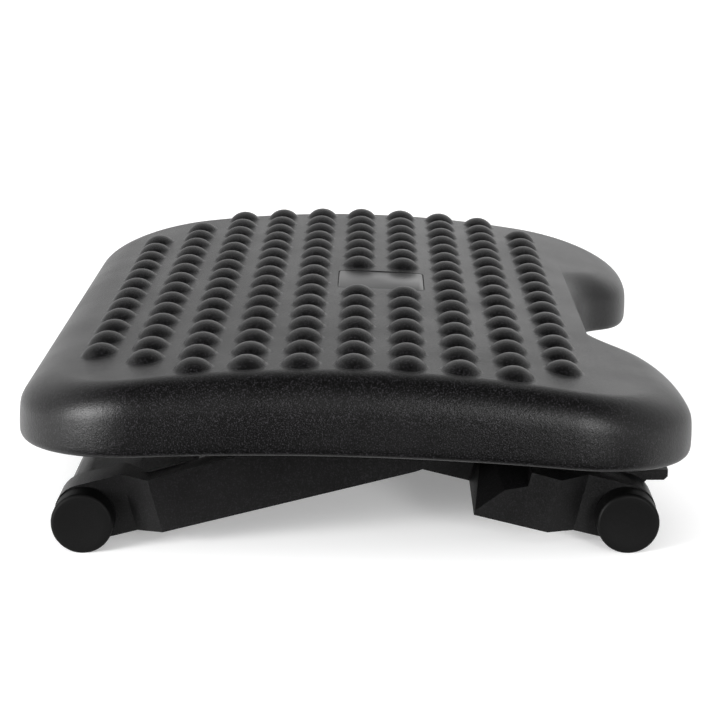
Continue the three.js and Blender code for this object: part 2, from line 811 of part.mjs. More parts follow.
function legFrame() {
  const bar = rod(barRadius, -discFace + capEndWall + seatGap, discFace - capEndWall - seatGap, barSides)
    .translate([0, legLength, 0]);
  const body = union([legArms(), legGusset(), legWeb(), legTab(), pawlPost(), bar]);
  const barHollow = rod(barBore / 2, -discFace, discFace, barSides).translate([0, legLength, 0]);
  const blindBore = rod(boreRadius, -axleEnd - seatGap, -outerArmInside + overrun, axleSides);
  const throughBore = rod(boreRadius, innerArmInside - overrun, innerArmOutside + overrun, axleSides);
  const webTopCut = webTop - webThickness;
  const outerCores = armCores(-outerFace + armSkin, -outerArmInside);
  const innerCores = armCores(innerArmInside, innerArmOutside - armSkin);
  const underWeb = [...outerCores, ...innerCores].map((core) =>
    core.intersect(block([-outerFace, outerFace], [0, legLength], [-legLength, webTopCut])));
  return body.subtract(union([barHollow, blindBore, throughBore, pawlScrewBore(), ...underWeb]));
}

// Rubber cap, pushed over the end of a foot bar, standing on a flat facet
function footCap(sign) {
  const inner = barRadius + seatGap;
  const profile = [
    [capInnerEnd, inner],
    [capInnerEnd, capRadius],
    [discFace - capBevel, capRadius],
    [discFace, capRadius - capBevel],
    [discFace, 0],
    [discFace - capEndWall, 0],
    [discFace - capEndWall, inner],
    [capInnerEnd, inner],
  ];
  return turned(profile.map(([axial, radius]) => [sign * axial, radius]), capSides);
}

// Spring-steel pawl: a flat strip on its post, with a nose in the first notch of the hub
function pawl() {
  const strip = block(
    [pawlMiddleX - pawlWidth / 2, pawlMiddleX + pawlWidth / 2],
    [-pawlTail, pawlPostEnd],
    [pawlSeat, pawlSeat + pawlThickness]);
  const noseHalf = hubNotchWidth / 2 - seatGap;
  const nose = alongX(
    polygon([
      [-noseHalf, pawlSeat - pawlNose],
      [noseHalf, pawlSeat - pawlNose],
      [noseHalf, pawlSeat + pawlThickness / 2],
      [-noseHalf, pawlSeat + pawlThickness / 2],
    ]),
    pawlMiddleX - pawlWidth / 2,
    pawlMiddleX + pawlWidth / 2);
  return strip.add(nose).subtract(pawlScrewBore());
}

function pawlScrew() {
  const seat = pawlSeat + pawlThickness + seatGap;
  const head = upright(pawlScrewHeadRadius, seat, seat + pawlScrewHeadHeight, screwSides);
  const shank = upright(pawlScrewRadius, pawlSeat - pawlScrewDepth, seat + overrun, screwSides);
  return head.add(shank).translate([pawlMiddleX, pawlScrewReach, 0]);
}

// Assembly. Everything hangs on the axle's middle.
const stance = new THREE.Group();
stance.position.z = axleHeight;

function buildPlatform() {
  const group = new THREE.Group();
  group.rotation.x = THREE.MathUtils.degToRad(restTiltDeg);
  group.add(piece('platform_shell', topPlastic, platformShell()));
  group.add(piece('name_plate', platePlastic, namePlate()));
  for (const [side, sign] of endsX) {
    group.add(piece(`hinge_bracket_${side}`, bracketPlastic, hingeBracket(sign)));
    screwPlaces(sign).forEach((place, i) => {
      group.add(piece(`bracket_screw_${side}_${i + 1}`, zincSteel, bracketScrew(place)));
    });
  }
  return group;
}

function buildAxle() {
  const group = new THREE.Group();
  group.add(piece('pivot_axle', axleSteel, pivotAxle()));
  for (const [side, sign] of endsX) {
    const spots = {
      [`outer_friction_washer_${side}`]: [washerRadius, outerWasherInside, hubInside - runGap],
      [`inner_friction_washer_${side}`]: [washerRadius, innerWasherInside, barrelInside - runGap],
      [`spacer_sleeve_${side}`]: [sleeveRadius, sleeveInside, sleeveOutside],
      [`thrust_washer_${side}`]: [washerRadius, thrustInside, thrustOutside],
    };
    for (const [name, [radius, from, to]] of Object.entries(spots)) {
      group.add(piece(name, washerPlastic, washer(radius, sign * from, sign * to)));
    }
    group.add(piece(`ratchet_hub_${side}`, zincSteel, ratchetHub(sign)));
    group.add(piece(`retaining_ring_${side}`, springSteel, retainingRing(sign)));
  }
  return group;
}

// The outer arm's end of a frame is at the left on the back leg and at the right on the front leg
function buildLeg(legName, outerSide, innerSide) {
  const leg = new THREE.Group();
  leg.rotation.x = -legAngle;
  leg.add(piece(`${legName}_leg_frame`, legPlastic, legFrame()));
  leg.add(piece(`pawl_${outerSide}`, springSteel, pawl()));
  leg.add(piece(`pawl_screw_${outerSide}`, zincSteel, pawlScrew()));
  for (const [side, sign] of [[outerSide, -1], [innerSide, 1]]) {
    const cap = piece(`${legName}_foot_cap_${side}`, capRubber, footCap(sign));
    cap.position.y = legLength;
    cap.rotation.x = legAngle;
    leg.add(cap);
  }
  return leg;
}

stance.add(buildPlatform());
stance.add(buildAxle());
stance.add(buildLeg('back', 'left', 'right'));
const frontLeg = new THREE.Group();
frontLeg.rotation.z = Math.PI;
frontLeg.add(buildLeg('front', 'right', 'left'));
stance.add(frontLeg);

// The origin is under the middle of the box round the whole footrest
const footrest = new THREE.Group();
footrest.add(stance);
footrest.updateMatrixWorld(true);
const box = new THREE.Box3().setFromObject(footrest, true);
stance.position.y = -(box.min.y + box.max.y) / 2;

export default footrest;
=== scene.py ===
# %% [markdown]
# A tilting footrest in moulded plastic
#
# A footrest stands under a desk. Its crowned top, covered with rounded bumps, tilts on an axle
# that two crossed leg frames carry, and the frames fold to three heights. The engineering model
# gives the pieces their places and sizes. Each piece is made here again at that size, smoother and
# with rounded edges, or is copied from the model, and is then given its finish.

import math

import bmesh
import bpy
import numpy as np
from mathutils import Matrix, Vector


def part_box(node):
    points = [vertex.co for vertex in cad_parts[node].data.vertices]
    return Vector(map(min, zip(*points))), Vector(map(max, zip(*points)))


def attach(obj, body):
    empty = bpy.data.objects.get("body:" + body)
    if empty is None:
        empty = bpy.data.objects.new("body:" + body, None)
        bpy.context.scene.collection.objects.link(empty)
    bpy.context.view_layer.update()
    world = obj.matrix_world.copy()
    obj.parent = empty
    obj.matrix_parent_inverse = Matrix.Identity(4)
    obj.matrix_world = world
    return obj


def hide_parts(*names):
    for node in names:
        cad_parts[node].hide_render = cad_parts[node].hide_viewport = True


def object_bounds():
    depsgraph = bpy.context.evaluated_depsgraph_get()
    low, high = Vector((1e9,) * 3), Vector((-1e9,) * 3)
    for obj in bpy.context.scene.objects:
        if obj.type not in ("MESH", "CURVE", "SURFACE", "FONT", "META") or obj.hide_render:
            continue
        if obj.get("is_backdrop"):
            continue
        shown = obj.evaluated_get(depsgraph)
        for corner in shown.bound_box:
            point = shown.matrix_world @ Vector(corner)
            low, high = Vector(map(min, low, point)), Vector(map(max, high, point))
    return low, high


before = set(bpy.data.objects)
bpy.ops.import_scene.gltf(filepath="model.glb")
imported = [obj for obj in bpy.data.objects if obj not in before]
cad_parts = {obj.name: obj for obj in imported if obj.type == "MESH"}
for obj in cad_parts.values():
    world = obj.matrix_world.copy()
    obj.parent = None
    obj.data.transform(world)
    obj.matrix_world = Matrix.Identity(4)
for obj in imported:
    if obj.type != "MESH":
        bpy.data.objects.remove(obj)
model_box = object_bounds()
scene = bpy.context.scene
mm = 0.001
print("nodes in the model:", len(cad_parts))

# %% [markdown]
# The camera comes first, because every later choice is judged through it. The photograph looks
# along the platform from its left end, from a little above the top. A camera could be placed by
# eye. Here the bumps lie on a square grid, and their places in the picture, with the outline's,
# fix the lens, the distance and the turn.

# %% Camera
camera_turn_deg = (75.488, 0.186, -89.434)
camera = bpy.data.objects.new("camera", bpy.data.cameras.new("camera"))
scene.collection.objects.link(camera)
camera.location = (-1187.5 * mm, -13.4 * mm, 359.8 * mm)
camera.rotation_euler = [math.radians(angle) for angle in camera_turn_deg]
camera.data.sensor_width = 36
camera.data.lens = 102.52
camera.data.clip_end = 50
scene.camera = camera
scene.view_settings.view_transform = "Standard"
look_down_deg = 90 - camera_turn_deg[0]
print("camera:", round(camera.location.length, 2), "m away,", round(look_down_deg, 1), "degrees down")

# %% [markdown]
# A black object on white needs very little: white paper under it, a white room around it, and
# something dark beside the camera for the near side to mirror. Photographers hang black cloth
# there. Without it, black plastic turns grey, because it mirrors the white room. Only reflections
# see these cloths: the camera, scattered light and shadows pass them by. The cloth on the floor
# ends just short of the platform, so the rounded lower edge still mirrors a strip of white paper.
# A gap under the hanging cloth keeps the near side from going quite black.

# %% White paper and black cloths
def plain_material(name, colour, roughness):
    """A material for the studio, which isn't part of the object."""
    material = bpy.data.materials.new(name)
    material.use_nodes = True
    shader = material.node_tree.nodes["Principled BSDF"]
    shader.inputs["Base Color"].default_value = (*colour, 1)
    shader.inputs["Roughness"].default_value = roughness
    shader.inputs["Specular IOR Level"].default_value = 0
    return material


def paper_white(name, glow):
    """White paper. Seen, it glows a little, so that it stays white in dim light but keeps shadows."""
    material = plain_material(name, (0.9, 0.9, 0.9), 1)
    tree = material.node_tree
    path = tree.nodes.new("ShaderNodeLightPath").outputs
    seen = path["Is Camera Ray"]
    for ray in ("Is Glossy Ray", "Is Transmission Ray"):
        either = tree.nodes.new("ShaderNodeMath")
        either.operation = "MAXIMUM"
        tree.links.new(seen, either.inputs[0])
        tree.links.new(path[ray], either.inputs[1])
        seen = either.outputs[0]
    scaled = tree.nodes.new("ShaderNodeMath")
    scaled.operation = "MULTIPLY"
    tree.links.new(seen, scaled.inputs[0])
    scaled.inputs[1].default_value = glow
    shader = tree.nodes["Principled BSDF"]
    shader.inputs["Emission Color"].default_value = (1, 1, 1, 1)
    tree.links.new(scaled.outputs[0], shader.inputs["Emission Strength"])
    return material


def studio_sheet(name, corners, material):
    """One flat sheet of the studio through four corners."""
    mesh = bpy.data.meshes.new(name)
    mesh.from_pydata(corners, [], [(0, 1, 2, 3)])
    sheet = bpy.data.objects.new(name, mesh)
    mesh.materials.append(material)
    scene.collection.objects.link(sheet)
    sheet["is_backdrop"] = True
    return sheet


floor_white = paper_white("floor_white", 0.25)
cloth_black = plain_material("cloth_black", (0.01, 0.01, 0.01), 1)
studio_sheet("floor", [(-9, -9, 0), (9, -9, 0), (9, 9, 0), (-9, 9, 0)], floor_white)
lift = 0.5 * mm
cloth_end = -0.235
cloths = {
    "floor_cloth": [(-1.7, -0.8, lift), (cloth_end, -0.3, lift), (cloth_end, 0.3, lift), (-1.7, 0.8, lift)],
    "hanging_cloth": [(-1.7, -1.8, 0.25), (-1.7, 1.8, 0.25), (-1.5, 1.8, 1.7), (-1.5, -1.8, 1.7)],
    "overhead_cloth": [(-1.5, -1.8, 1.7), (-1.5, 1.8, 1.7), (0.5, 1.8, 2.1), (0.5, -1.8, 2.1)],
}
for name, corners in cloths.items():
    cloth = studio_sheet(name, corners, cloth_black)
    cloth.visible_camera = cloth.visible_diffuse = cloth.visible_shadow = False
print("black cloths:", ", ".join(cloths))

# %% [markdown]
# The light comes from the white room itself, even on all sides. Two soft boxes beside the camera
# are added for the long highlights on the two near corners, and a faint third one lights the far
# end. A point lamp would draw a small hard spot on gloss. A soft box is a wide sheet of light, so
# its mirror image is a wide soft patch.

# %% Soft boxes and the white room
def soft_box(name, place, aim, width, height, power):
    """A rectangle of light, turned to face a point."""
    lamp = bpy.data.lights.new(name, "AREA")
    lamp.shape = "RECTANGLE"
    lamp.size, lamp.size_y = width, height
    lamp.energy = power
    box = bpy.data.objects.new(name, lamp)
    box.location = place
    box.rotation_euler = (Vector(aim) - Vector(place)).to_track_quat("-Z", "Y").to_euler()
    scene.collection.objects.link(box)
    print(name, "gives", power, "watts from", round(box.location.length, 2), "m")
    return box


soft_box("left_soft_box", (-1.03, 1.25, 0.36), (-0.2, 0.12, 0.07), 0.6, 0.5, 34)
soft_box("right_soft_box", (-1.42, -0.66, 0.34), (-0.2, -0.1, 0.07), 0.35, 0.4, 14)
soft_box("far_soft_box", (2.0, -0.8, 0.7), (0, -0.1, 0.1), 1.6, 0.8, 1.5)

world = bpy.data.worlds.new("white_room")
world.use_nodes = True
world.node_tree.nodes["Background"].inputs["Color"].default_value = (1, 1, 1, 1)
world.node_tree.nodes["Background"].inputs["Strength"].default_value = 1
scene.world = world

# %% [markdown]
# All the big mouldings are black plastic, but no two finishes are alike. A mould is etched, and
# the plastic copies the etching: a field of tiny pits and hills about half a millimetre wide.
# It could be painted as a picture, but a picture shows its edges and its size. Noise read at the
# object's own coordinates has neither. Four small tools write the steps that each material needs.

# %% Tools for materials
def noise(tree, coordinates, size, detail=2.0, roughness=0.5):
    """Noise whose hills are about one size wide, as a value from 0 to 1."""
    node = tree.nodes.new("ShaderNodeTexNoise")
    node.inputs["Scale"].default_value = 1 / size
    node.inputs["Detail"].default_value = detail
    node.inputs["Roughness"].default_value = roughness
    tree.links.new(coordinates, node.inputs["Vector"])
    return node.outputs["Fac"]


def spread(tree, value, low, high, start=0.3, end=0.7):
    """Stretches noise to a range, which it runs through between start and end."""
    node = tree.nodes.new("ShaderNodeMapRange")
    tree.links.new(value, node.inputs["Value"])
    for name, number in (("From Min", start), ("From Max", end), ("To Min", low), ("To Max", high)):
        node.inputs[name].default_value = number
    return node.outputs["Result"]


def two_tone(tree, factor, dark, light):
    """A colour between two others."""
    node = tree.nodes.new("ShaderNodeMix")
    node.data_type = "RGBA"
    tree.links.new(factor, node.inputs["Factor"])
    node.inputs["A"].default_value = (*dark, 1)
    node.inputs["B"].default_value = (*light, 1)
    return node.outputs["Result"]


def bumped(tree, height, depth, strength, under=None):
    """Turns a height into a shaded surface, on top of another layer if there is one."""
    node = tree.nodes.new("ShaderNodeBump")
    node.inputs["Distance"].default_value = depth
    node.inputs["Strength"].default_value = strength
    tree.links.new(height, node.inputs["Height"])
    if under is not None:
        tree.links.new(under, node.inputs["Normal"])
    return node.outputs["Normal"]


# %% [markdown]
# Moulded plastic then has three layers. The surface is fine grain over a coarser, rolling one.
# The gloss is cloudy, because no mould is etched quite evenly. The colour has faint pale dots of
# painted glint, for the facets of the grain that catch the light. The five finishes differ in how
# rough, how dark and how deep they are, so one function with a few numbers makes them all.

# %% Etched plastic
cloud_size = 38 * mm


def etched_plastic(name, dark, light, gloss, grain, depth, index=1.45):
    """Moulded plastic with an etched grain. gloss is the range of its roughness."""
    material = bpy.data.materials.new(name)
    material.use_nodes = True
    tree = material.node_tree
    shader = tree.nodes["Principled BSDF"]
    shader.inputs["IOR"].default_value = index
    place = tree.nodes.new("ShaderNodeTexCoord").outputs["Object"]
    fine = noise(tree, place, grain, detail=3, roughness=0.6)
    coarse = noise(tree, place, 3.2 * grain, detail=2)
    cloud = noise(tree, place, cloud_size, detail=3)
    # Painted glints: pale dots in the colour where facets of the grain would catch the light.
    painted_glints = spread(tree, noise(tree, place, 1.15 * grain, detail=1), 0, 1, start=0.53, end=0.72)
    tree.links.new(two_tone(tree, painted_glints, dark, light), shader.inputs["Base Color"])
    tree.links.new(spread(tree, cloud, *gloss), shader.inputs["Roughness"])
    rolling = bumped(tree, coarse, depth, 0.9)
    tree.links.new(bumped(tree, fine, depth, 1.0, rolling), shader.inputs["Normal"])
    print(name, "has a grain of", round(grain / mm, 2), "mm,", round(depth / mm, 3), "mm deep")
    return material


# The second colour of each finish is the colour of its painted glints.
top_plastic = etched_plastic(
    "top_plastic", (0.0008, 0.0008, 0.0008), (0.017, 0.016, 0.018),
    gloss=(0.34, 0.4), grain=0.6 * mm, depth=0.12 * mm, index=1.33,
)
leg_plastic = etched_plastic(
    "leg_plastic", (0.001, 0.001, 0.001), (0.007, 0.0065, 0.0075),
    gloss=(0.38, 0.44), grain=0.6 * mm, depth=0.12 * mm, index=1.27,
)
bracket_plastic = etched_plastic(
    "bracket_plastic", (0.004, 0.004, 0.004), (0.01, 0.01, 0.01),
    gloss=(0.4, 0.48), grain=0.5 * mm, depth=0.03 * mm,
)
plate_plastic = etched_plastic(
    "plate_plastic", (0.005, 0.005, 0.0055), (0.009, 0.009, 0.0095),
    gloss=(0.3, 0.36), grain=0.4 * mm, depth=0.008 * mm,
)
cap_rubber = etched_plastic(
    "cap_rubber", (0.001, 0.001, 0.001), (0.003, 0.003, 0.003),
    gloss=(0.5, 0.6), grain=0.35 * mm, depth=0.015 * mm, index=1.2,
)

# %% [markdown]
# The metal under the platform is plain hardware. Zinc plating is a little blotchy, drawn steel has
# fine rings round it, and blued spring steel is dark with a straw edge to its colour. Each one is
# noise stretched in one direction or another, in the colour and in the roughness.

# %% Metals and the washers' white plastic
def worked_metal(name, dark, light, gloss, stretch):
    """Metal whose marks are drawn out by stretch along X, Y and Z."""
    material = bpy.data.materials.new(name)
    material.use_nodes = True
    tree = material.node_tree
    shader = tree.nodes["Principled BSDF"]
    shader.inputs["Metallic"].default_value = 1
    mapping = tree.nodes.new("ShaderNodeMapping")
    mapping.inputs["Scale"].default_value = stretch
    tree.links.new(tree.nodes.new("ShaderNodeTexCoord").outputs["Object"], mapping.inputs["Vector"])
    marks = noise(tree, mapping.outputs["Vector"], 1.2 * mm, detail=4)
    tree.links.new(two_tone(tree, spread(tree, marks, 0, 1), dark, light), shader.inputs["Base Color"])
    tree.links.new(spread(tree, marks, *gloss), shader.inputs["Roughness"])
    tree.links.new(bumped(tree, marks, 0.02 * mm, 0.6), shader.inputs["Normal"])
    return material


drawn_steel = worked_metal("drawn_steel", (0.42, 0.43, 0.44), (0.6, 0.61, 0.62), (0.24, 0.36), (4, 1, 1))
zinc_steel = worked_metal("zinc_steel", (0.36, 0.38, 0.41), (0.52, 0.53, 0.54), (0.3, 0.46), (1, 1, 1))
spring_steel = worked_metal("spring_steel", (0.1, 0.11, 0.13), (0.2, 0.19, 0.18), (0.26, 0.4), (1, 0.3, 1))
washer_white = etched_plastic(
    "washer_white", (0.6, 0.59, 0.54), (0.68, 0.67, 0.62),
    gloss=(0.38, 0.46), grain=0.6 * mm, depth=0.01 * mm,
)
print("materials in all:", len(bpy.data.materials))

# %% [markdown]
# Most pieces are rings of points, one above another, with faces between them. Blender could add
# and edit cylinders and cubes instead, but a list of rings says exactly what is there. One tool
# turns points and faces into a mesh, one joins the rings, and one spins a profile.

# %% Tools for making pieces
def shade(mesh, sharp_deg):
    """Smooth shading, broken where faces meet at more than an angle."""
    mesh.shade_smooth()
    mesh.set_sharp_from_angle(angle=math.radians(sharp_deg))


def add_object(name, mesh, material, sharp_deg=32):
    """Puts a finished mesh into the scene."""
    mesh.materials.clear()
    mesh.materials.append(material)
    shade(mesh, sharp_deg)
    piece = bpy.data.objects.new(name, mesh)
    scene.collection.objects.link(piece)
    return piece


def mesh_from(name, points, faces):
    """A closed mesh whose faces point outwards."""
    mesh = bpy.data.meshes.new(name)
    mesh.from_pydata([tuple(point) for point in points], [], [tuple(face) for face in faces])
    work = bmesh.new()
    work.from_mesh(mesh)
    bmesh.ops.remove_doubles(work, verts=work.verts, dist=0.001 * mm)
    bmesh.ops.recalc_face_normals(work, faces=work.faces)
    work.to_mesh(mesh)
    work.free()
    return mesh


def circle(radius, height, sides):
    """Points round a level circle."""
    angles = [2 * math.pi * step / sides for step in range(sides)]
    return [(radius * math.cos(angle), radius * math.sin(angle), height) for angle in angles]


def ring_walls(levels, count, first=0, closed=False):
    """Faces between stacked rings of count points. closed joins the last ring to the first as well."""
    faces = []
    for level in range(levels if closed else levels - 1):
        low = first + level * count
        high = first + (level + 1) % levels * count
        for i in range(count):
            following = (i + 1) % count
            faces.append((low + i, high + i, high + following, low + following))
    return faces


def spun(name, profile, sides):
    """A closed profile of (place along X, radius) pairs, spun round the X axis."""
    points = []
    for along, radius in profile:
        points += [(z, y, x) for x, y, z in circle(radius, along, sides)]
    return mesh_from(name, points, ring_walls(len(profile), sides, closed=True))


# %% [markdown]
# The model's own solids have flat facets and knife edges, and a real moulding has neither. Some
# pieces are exact in the model in every other way, so they are copied and their edges rounded
# with a Bevel. Light catches on those edges, so they do more for the eye than any texture.

# %% Rounding the edges of a solid
def apply_modifiers(piece):
    """Replaces a piece's mesh by the one its modifiers make."""
    graph = bpy.context.evaluated_depsgraph_get()
    made = bpy.data.meshes.new_from_object(piece.evaluated_get(graph))
    piece.modifiers.clear()
    old = piece.data
    piece.data = made
    bpy.data.meshes.remove(old)
    return piece


def rounded_copy(node, name, material, edge, sharp_deg=32):
    """A copy of one of the model's solids with its sharp edges rounded."""
    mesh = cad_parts[node].data.copy()
    work = bmesh.new()
    work.from_mesh(mesh)
    bmesh.ops.remove_doubles(work, verts=work.verts, dist=0.01 * mm)
    bmesh.ops.dissolve_limit(
        work, angle_limit=math.radians(0.5), verts=work.verts, edges=work.edges, delimit={"NORMAL"}
    )
    work.to_mesh(mesh)
    work.free()
    piece = add_object(name, mesh, material, sharp_deg)
    bevel = piece.modifiers.new("edges", "BEVEL")
    bevel.width = edge
    bevel.segments = 2
    bevel.limit_method = "ANGLE"
    bevel.angle_limit = math.radians(sharp_deg)
    bevel.use_clamp_overlap = True
    apply_modifiers(piece)
    shade(piece.data, sharp_deg)
    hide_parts(node)
    print(name, "has", len(piece.data.polygons), "faces, edges rounded to", round(edge / mm, 2), "mm")
    return piece


# %% [markdown]
# The platform is one shell. Seen from above, its outline has rounded corners and an S-shaped bend
# on each side of the cut-out. The outline could be a row of points clicked by hand, but then no
# size could be changed later. Here the corners are arcs and each bend is one Bezier curve.

# %% The platform's outline
half_length = 225 * mm
half_width = 175 * mm
corner_radius = 68 * mm
cut_depth = 41.5 * mm
cut_floor = 25 * mm
corner_x = half_length - corner_radius
corner_steps = 20
bend_steps = 28
end_steps = 24
bend_shares = (0.73, 0.65)


def arc(centre_x, centre_y, radius, start_deg, end_deg):
    """Points along a quarter circle."""
    angles = np.radians(np.linspace(start_deg, end_deg, corner_steps + 1))
    return [(centre_x + radius * math.cos(a), centre_y + radius * math.sin(a)) for a in angles]


def cut_out_bend():
    """The S-shaped bend from the front corner down to the floor of the cut-out."""
    run = corner_x - cut_floor
    floor_y = cut_depth - half_width
    handles = np.array([
        (corner_x, -half_width),
        (corner_x - bend_shares[0] * run, -half_width),
        (cut_floor + bend_shares[1] * run, floor_y),
        (cut_floor, floor_y),
    ])
    points = []
    for t in np.linspace(0, 1, bend_steps + 1)[1:]:
        weights = np.array([(1 - t) ** 3, 3 * t * (1 - t) ** 2, 3 * t * t * (1 - t), t ** 3])
        points.append(tuple(weights @ handles))
    return points


def half_outline():
    """The right half, from the straight back edge clockwise to the floor of the cut-out."""
    back_y = half_width - corner_radius
    straight = [(half_length, y) for y in np.linspace(back_y, -back_y, end_steps + 1)[1:-1]]
    back = arc(corner_x, back_y, corner_radius, 90, 0)
    front = arc(corner_x, -back_y, corner_radius, 0, -90)
    return [*back, *straight, *front, *cut_out_bend()]


right_half = np.array(half_outline())
outline = np.concatenate([right_half * (-1, 1), right_half[::-1]])
per_half = len(right_half)
print("points in the outline:", len(outline))

# %% [markdown]
# The shell's rings will be copies of this outline moved inwards. A scaled copy would be wrong, since
# scaling moves far points more than near ones. Here every point moves square to the edges beside
# it. The shoulder, where the top rolls over into the side, is narrower on the two ends than at the
# front and back, so each point has a width of its own, from the direction that it faces.

# %% Moving the outline inwards
side_shoulder = 23 * mm
end_shoulder = 15 * mm


def outline_normals():
    """The inward normal at each point of the outline."""
    along = np.roll(outline, -1, axis=0) - np.roll(outline, 1, axis=0)
    along /= np.linalg.norm(along, axis=1)[:, None]
    return np.column_stack([-along[:, 1], along[:, 0]])


shoulder_inset = side_shoulder + (end_shoulder - side_shoulder) * outline_normals()[:, 0] ** 2


def inset_outline(distance):
    """The outline moved inwards, each point square to the edges beside it."""
    before = outline - np.roll(outline, 1, axis=0)
    after = np.roll(outline, -1, axis=0) - outline
    before /= np.linalg.norm(before, axis=1)[:, None]
    after /= np.linalg.norm(after, axis=1)[:, None]
    normal = np.column_stack([-before[:, 1], before[:, 0]])
    inward = normal + np.column_stack([-after[:, 1], after[:, 0]])
    inward /= np.linalg.norm(inward, axis=1)[:, None]
    return outline + inward * (distance / np.sum(inward * normal, axis=1))[:, None]


print("shoulder from", round(shoulder_inset.min() / mm), "to", round(shoulder_inset.max() / mm), "mm wide")

# %% [markdown]
# Seen from the end, the platform is crowned, higher in the middle. A box with rounded edges can't
# be crowned and have a curved outline at once. So the shell is built as a stack of rings: each
# ring is the outline moved inwards, and together they roll over the shoulder, down the upright
# side, round the lower edge and back up inside. The rings start flat. Each one remembers two
# numbers: the share of the rim's height that it lies below the crown, and how far it stands off
# that level.

# %% The rings of the shell
shoulder_share = 0.49
flare = 0.4 * mm
side_start = 0.94
belly_place = 0.75
edge_start = 0.04
edge_inset = 2.6 * mm
edge_height = 4 * mm
wall = 3.2 * mm
draft = 1.2 * mm
shoulder_steps = 15
side_steps = 9
edge_steps = 7
inner_steps = 10


def shoulder_ring(turn, skin):
    """Share, stand-off and inset of a ring of the shoulder. turn is 0 on top and 1 at its foot.

    The inset is a list, one for each point, because the shoulder is tighter at the two ends."""
    angle = turn * math.pi / 2
    inset = shoulder_inset - (shoulder_inset - skin - flare) * math.sin(angle)
    return shoulder_share * (1 - math.cos(angle)), -skin * math.cos(angle), inset


def side_ring(down):
    """The same for the side, from 0 at the shoulder to 1 at the lower edge. It is widest at its belly."""
    start, _, inset = shoulder_ring(side_start, 0)
    stand = edge_height * (1 - math.sin(edge_start * math.pi / 2))
    return start + (1 - start) * down, stand * down, inset * (down / belly_place - 1) ** 2


def edge_ring(turn):
    """The same for the lower edge, from edge_start at the side to 1 underneath."""
    angle = turn * math.pi / 2
    inset = side_ring(1)[2] + edge_inset * (math.cos(edge_start * math.pi / 2) - math.cos(angle))
    return 1.0, edge_height * (1 - math.sin(angle)), inset


rings = [shoulder_ring(turn, 0) for turn in np.linspace(0, side_start, shoulder_steps)]
rings += [side_ring(down) for down in np.linspace(0, 1, side_steps)[1:-1]]
rings += [edge_ring(turn) for turn in np.linspace(edge_start, 1, edge_steps)]
rings.append((1.0, 0.0, wall + draft))
rings += [shoulder_ring(turn, wall) for turn in np.linspace(1, 0, inner_steps)]
print("rings in the shell:", len(rings))

# %% [markdown]
# The stack needs a lid on top and one inside. A fan of triangles from the middle would show as a
# star in the gloss. Strips straight across the platform, each as deep as one step of the outline,
# follow the crown exactly, because the top only curves from front to back. The two lobes beside
# the cut-out are zipped up from their two sides.

# %% The flat stack with its lids
def strips_across():
    """Faces that close a ring of the outline, as seen from above."""
    last = 2 * per_half - 1
    floor = per_half - 1
    tip = floor - bend_steps
    split = int(np.argmax(right_half[:, 1] < right_half[floor, 1])) - 1
    faces = [(i, i + 1, last - i - 1, last - i) for i in range(split)]
    faces.append((split, floor, last - floor, last - split))
    low, high = split, floor
    while high - low > 1:
        low_share = (tip - low) / (tip - split)
        step_low = low < tip and low_share >= (high - tip) / (floor - tip)
        added = low + 1 if step_low else high - 1
        faces += [(low, added, high), (last - low, last - high, last - added)]
        low, high = (added, high) if step_low else (low, added)
    return faces


def with_lids(levels):
    """The faces of a stack of rings of the outline, closed above and inside."""
    count = len(outline)
    lid = strips_across()
    inner = (levels - 1) * count
    return ring_walls(levels, count) + lid + [tuple(inner + i for i in reversed(face)) for face in lid]


def flat_stack():
    """The rings as one closed mesh, still flat, with each point's two numbers stored on it."""
    points, shares, stands = [], [], []
    for share, stand, distance in rings:
        points += [(x, y, 0) for x, y in inset_outline(distance)]
        shares += [share] * len(outline)
        stands += [stand] * len(outline)
    mesh = bpy.data.meshes.new("platform")
    mesh.from_pydata(points, [], with_lids(len(rings)))
    for name, values in (("share", shares), ("stand", stands)):
        mesh.attributes.new(name, "FLOAT", "POINT").data.foreach_set("value", values)
    return mesh


platform = add_object("platform", flat_stack(), top_plastic, sharp_deg=40)
print("platform:", len(platform.data.polygons), "faces, still flat")

# %% [markdown]
# Geometry Nodes will lift the rings, and later place the bumps and the screws. A tree is easier to
# read as lines of text than as a picture once it has more than ten nodes, so a few small tools
# write it. One starts a tree with named inputs, one ends it with a material, one puts it to use,
# and two do sums on the numbers that the points carry.

# %% Tools for Geometry Nodes
def new_tree(name, numbers=(), objects=()):
    """An empty node group for a modifier, with named inputs and one for the finish."""
    tree = bpy.data.node_groups.new(name, "GeometryNodeTree")
    tree.is_modifier = True
    tree.interface.new_socket("Geometry", in_out="INPUT", socket_type="NodeSocketGeometry")
    for label in numbers:
        tree.interface.new_socket(label, in_out="INPUT", socket_type="NodeSocketFloat")
    for label in objects:
        tree.interface.new_socket(label, in_out="INPUT", socket_type="NodeSocketObject")
    tree.interface.new_socket("Finish", in_out="INPUT", socket_type="NodeSocketMaterial")
    tree.interface.new_socket("Geometry", in_out="OUTPUT", socket_type="NodeSocketGeometry")
    return tree


def painted_end(tree, geometry, finish):
    """Ends a tree: the geometry gets its material and goes out."""
    painted = tree.nodes.new("GeometryNodeSetMaterial")
    tree.links.new(geometry, painted.inputs["Geometry"])
    tree.links.new(finish, painted.inputs["Material"])
    tree.links.new(painted.outputs[0], tree.nodes.new("NodeGroupOutput").inputs[0])


def use_tree(piece, tree, values):
    """Puts a tree on a piece, sets its inputs by their identifiers and makes the result a plain mesh."""
    modifier = piece.modifiers.new(tree.name, "NODES")
    modifier.node_group = tree
    for item in tree.interface.items_tree:
        if item.in_out == "INPUT" and item.name in values:
            modifier[item.identifier] = values[item.name]
    apply_modifiers(piece)


